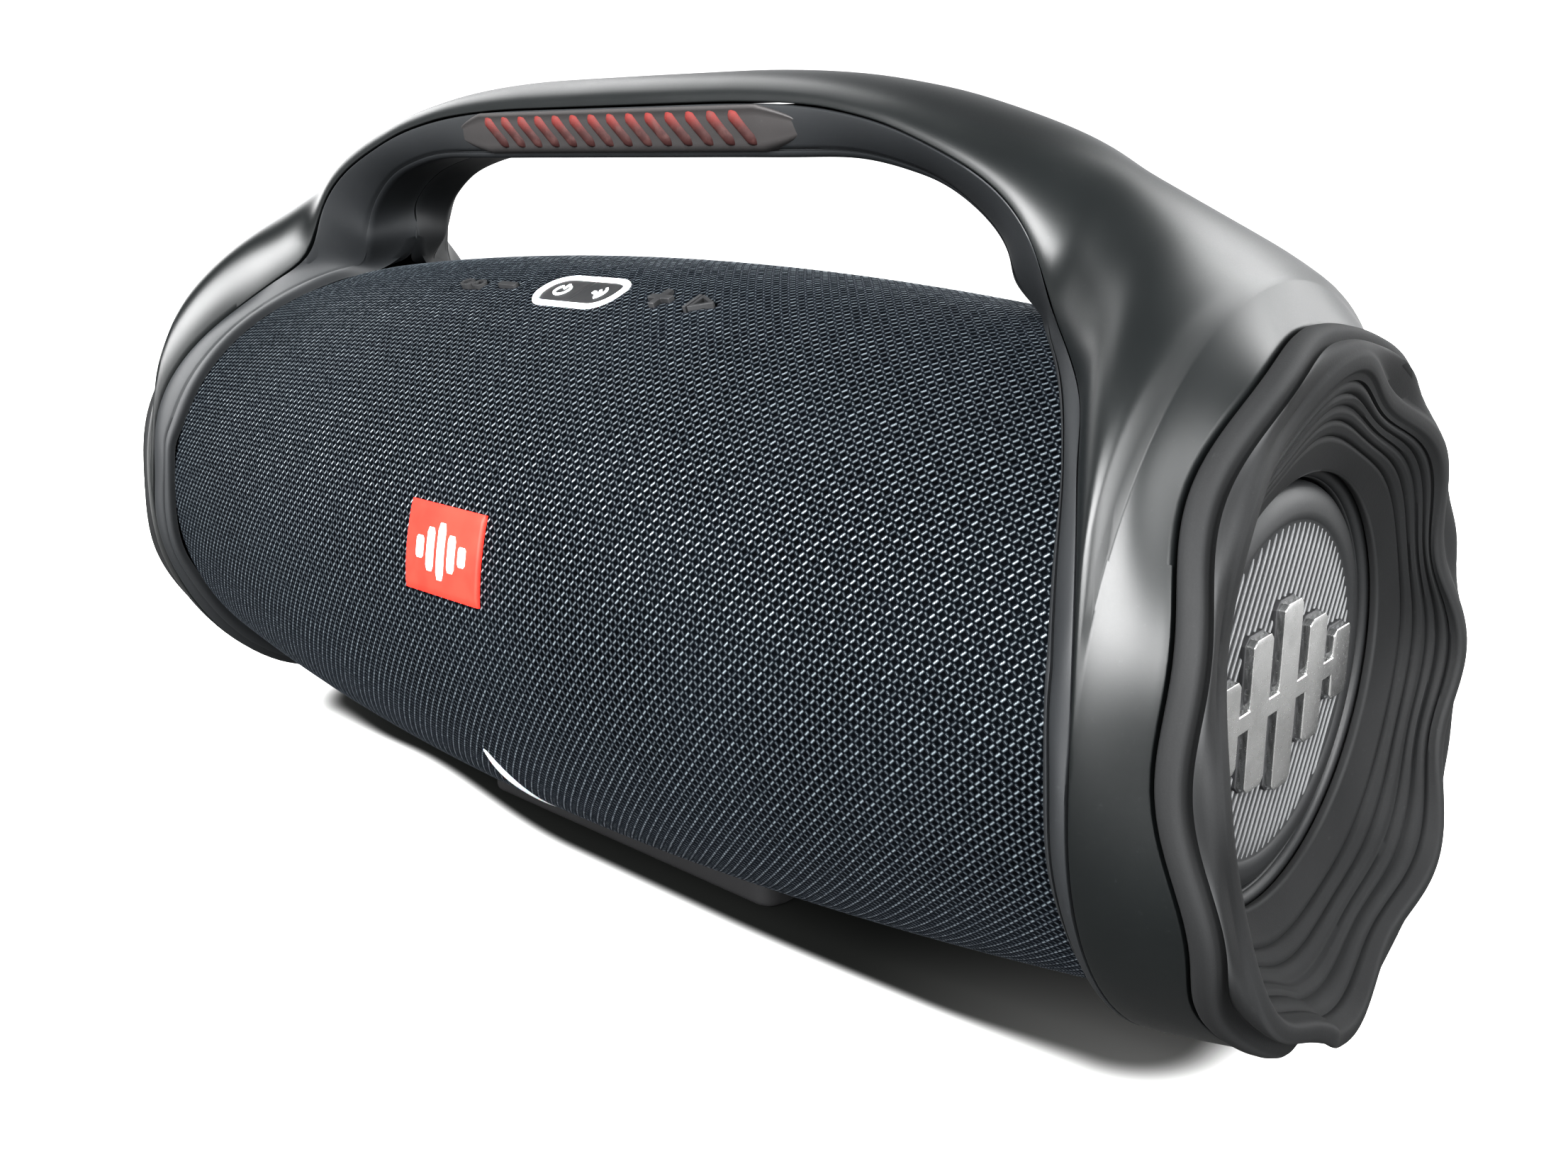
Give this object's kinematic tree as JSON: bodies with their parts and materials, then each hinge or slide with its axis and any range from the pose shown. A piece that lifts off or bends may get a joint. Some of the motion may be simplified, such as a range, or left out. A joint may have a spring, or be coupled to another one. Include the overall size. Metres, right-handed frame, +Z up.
{
  "type": "portable bluetooth speaker",
  "caption": "Barrel-shaped portable speaker in a fabric sleeve, with an arched carry handle, wavy rubber end rings round moving radiator discs, top keys and a hinged port door",
  "frame": {"origin": "on the resting plane, under the middle of the barrel's axis, on the underside of the base foot", "axes": "+X along the barrel towards the right end as seen from the front, +Y to the rear (port door side), +Z up towards the handle"},
  "size_m": [0.4838, 0.1966, 0.2545],
  "materials": {
    "fabric": "tight woven mesh, navy-black with pale thread glints",
    "satin_plastic": "satin near-black moulding",
    "trim_rubber": "matte dark grey, soft touch",
    "bumper_rubber": "matte dark grey, moulded grooves",
    "grip_rubber": "matte red-brown, slanted ribs",
    "radiator_rubber": "smooth dark grey",
    "chrome": "polished",
    "red_badge": "semi-gloss red",
    "white_guide": "milky light guide",
    "key_rubber": "matte dark grey",
    "abs": "moulded black",
    "steel": "plated steel",
    "paper_cone": "black cone",
    "ferrite": "dark ferrite and steel pot",
    "pcb": "green solder mask",
    "aluminium": "mill finish",
    "battery_wrap": "blue shrink wrap",
    "cable": "black jacket"
  },
  "bodies": {
    "body": {"aux_jack": "abs", "base_foot": "bumper_rubber", "battery_pack": "battery_wrap", "battery_tray": "abs", "board_cable": "cable", "bumper_left": "bumper_rubber", "bumper_right": "bumper_rubber", "button_board": "pcb", "dc_jack": "abs", "enclosure_front": "abs", "enclosure_rear": "abs", "end_frame_left": "abs", "end_frame_right": "abs", "end_screw_left_1": "steel", "end_screw_left_2": "steel", "end_screw_left_3": "steel", "end_screw_left_4": "steel", "end_screw_right_1": "steel", "end_screw_right_2": "steel", "end_screw_right_3": "steel", "end_screw_right_4": "steel", "fabric_sleeve": "fabric", "front_badge": "red_badge", "grip_front": "grip_rubber", "grip_rear": "grip_rubber", "handle_shell": "satin_plastic", "heat_sink": "aluminium", "indicator_lens": "white_guide", "light_ring": "white_guide", "main_board": "pcb", "port_bay": "abs", "surround_left": "radiator_rubber", "surround_right": "radiator_rubber", "trim_front": "trim_rubber", "trim_rear": "trim_rubber", "tweeter_left": "abs", "tweeter_right": "abs", "usb_socket_1": "steel", "usb_socket_2": "steel", "woofer_frame_left": "steel", "woofer_frame_right": "steel", "woofer_motor_left": "ferrite", "woofer_motor_right": "ferrite", "woofer_surround_left": "radiator_rubber", "woofer_surround_right": "radiator_rubber"},
    "radiator_left_disc": {"radiator_left": "radiator_rubber", "emblem_left": "chrome"},
    "radiator_right_disc": {"radiator_right": "radiator_rubber", "emblem_right": "chrome"},
    "cone_left": {"woofer_cone_left": "paper_cone"},
    "cone_right": {"woofer_cone_right": "paper_cone"},
    "door": {"port_door": "trim_rubber"},
    "key_link": {"button_link": "key_rubber"},
    "key_volume_down": {"button_volume_down": "key_rubber"},
    "key_power": {"button_power": "key_rubber"},
    "key_wireless": {"button_wireless": "key_rubber"},
    "key_volume_up": {"button_volume_up": "key_rubber"},
    "key_play": {"button_play": "key_rubber"}
  },
  "joints": [
    {"name": "press_link", "type": "slide", "parent": "body", "child": "key_link", "axis": [0, 0.3665, -0.9304], "range_m": [0, 0.001]},
    {"name": "press_volume_down", "type": "slide", "parent": "body", "child": "key_volume_down", "axis": [0, 0.3665, -0.9304], "range_m": [0, 0.001]},
    {"name": "press_power", "type": "slide", "parent": "body", "child": "key_power", "axis": [0, 0.3665, -0.9304], "range_m": [0, 0.001]},
    {"name": "press_wireless", "type": "slide", "parent": "body", "child": "key_wireless", "axis": [0, 0.3665, -0.9304], "range_m": [0, 0.001]},
    {"name": "press_volume_up", "type": "slide", "parent": "body", "child": "key_volume_up", "axis": [0, 0.3665, -0.9304], "range_m": [0, 0.001]},
    {"name": "press_play", "type": "slide", "parent": "body", "child": "key_play", "axis": [0, 0.3665, -0.9304], "range_m": [0, 0.001]},
    {"name": "radiator_left_stroke", "type": "slide", "parent": "body", "child": "radiator_left_disc", "axis": [-1, 0, 0], "range_m": [-0.005, 0.005]},
    {"name": "radiator_right_stroke", "type": "slide", "parent": "body", "child": "radiator_right_disc", "axis": [1, 0, 0], "range_m": [-0.005, 0.005]},
    {"name": "cone_left_stroke", "type": "slide", "parent": "body", "child": "cone_left", "axis": [0, -1, 0], "range_m": [-0.004, 0.004]},
    {"name": "cone_right_stroke", "type": "slide", "parent": "body", "child": "cone_right", "axis": [0, -1, 0], "range_m": [-0.004, 0.004]},
    {"name": "port_door_hinge", "type": "hinge", "parent": "body", "child": "door", "pos_m": [0, 0.0959, 0.0843], "axis": [-1, 0, 0], "range_deg": [0, 110]}
  ]
}
